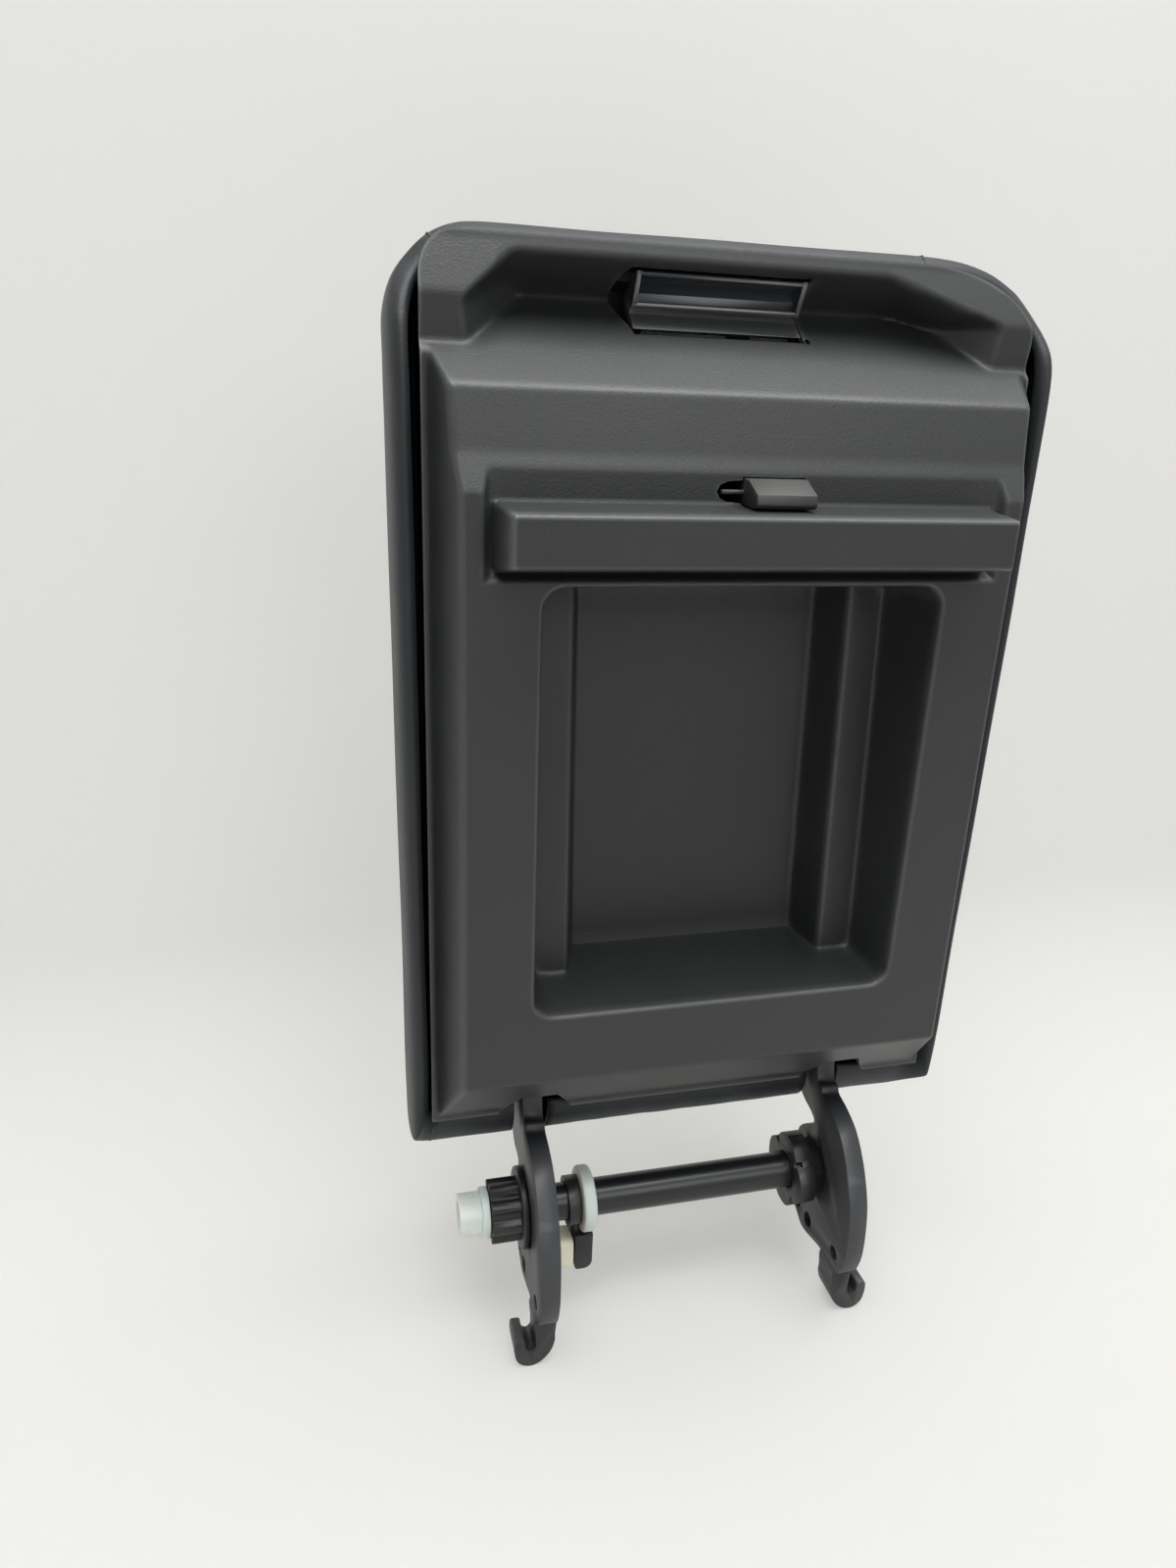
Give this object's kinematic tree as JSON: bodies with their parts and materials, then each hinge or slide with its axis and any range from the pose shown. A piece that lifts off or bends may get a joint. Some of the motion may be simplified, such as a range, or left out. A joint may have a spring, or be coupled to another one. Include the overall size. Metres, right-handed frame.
{
  "type": "center console armrest",
  "caption": "Hinged padded armrest lid of a vehicle center console with a storage recess, finger latch, cranked hinge arms and hinge rod.",
  "frame": {"origin": "middle of the hinge axis, in line with the middle of the lid", "axes": "+Z from the hinge along the opened lid to its front end, -Y out of the lid's underside, +X along the hinge rod"},
  "size_m": [0.2308, 0.1063, 0.4166],
  "materials": {
    "liner_abs": "grained",
    "carrier_abs": "matte",
    "foam": "matte",
    "vinyl": "satin",
    "arm_metal": "satin",
    "black_nylon": "satin",
    "rod_metal": "satin",
    "white_nylon": "satin",
    "cream_rubber": "matte",
    "paddle_abs": "gloss",
    "grey_acetal": "matte",
    "zinc_steel": "zinc plated"
  },
  "bodies": {
    "hinge": {"hinge_rod": "rod_metal", "toothed_bush": "black_nylon", "end_cap": "white_nylon", "collar_ring": "white_nylon", "stop_tab": "black_nylon", "bump_pad": "cream_rubber", "right_boss": "black_nylon", "retaining_clip": "zinc_steel"},
    "lid": {"liner": "liner_abs", "carrier": "carrier_abs", "foam_pad": "foam", "cover": "vinyl", "left_arm": "arm_metal", "right_arm": "arm_metal", "left_arm_bush": "black_nylon", "right_arm_bush": "black_nylon", "arm_screw_left_1": "zinc_steel", "arm_screw_left_2": "zinc_steel", "arm_screw_right_1": "zinc_steel", "arm_screw_right_2": "zinc_steel", "latch_bracket": "carrier_abs", "bracket_screw_1": "zinc_steel", "bracket_screw_2": "zinc_steel", "bracket_screw_3": "zinc_steel", "bracket_screw_4": "zinc_steel", "paddle_pin": "zinc_steel", "pawl_pin": "zinc_steel", "paddle_spring": "zinc_steel", "pawl_spring": "zinc_steel"},
    "paddle": {"latch_paddle": "paddle_abs"},
    "link": {"latch_link": "grey_acetal"},
    "pawl": {"latch_pawl": "grey_acetal"}
  },
  "joints": [
    {"name": "lid_hinge", "type": "hinge", "parent": "hinge", "child": "lid", "pos_m": [0, 0, 0], "axis": [1, 0, 0], "range_deg": [0, 90]},
    {"name": "paddle_tilt", "type": "hinge", "parent": "lid", "child": "paddle", "pos_m": [-0.004, 0.024, 0.334], "axis": [1, 0, 0], "range_deg": [0, 10], "stiffness_Nm_per_rad": 0.12, "springref_deg": -14.32},
    {"name": "link_slide", "type": "slide", "parent": "lid", "child": "link", "axis": [0, 0, 1], "range_m": [0, 0.0011]},
    {"name": "pawl_slide", "type": "slide", "parent": "lid", "child": "pawl", "axis": [0, 1, 0], "range_m": [0, 0.0036]}
  ],
  "couplings": [
    {"joint": "link_slide", "follows": "paddle_tilt", "m_per_rad": 0.0062},
    {"joint": "pawl_slide", "follows": "paddle_tilt", "m_per_rad": 0.01984}
  ]
}
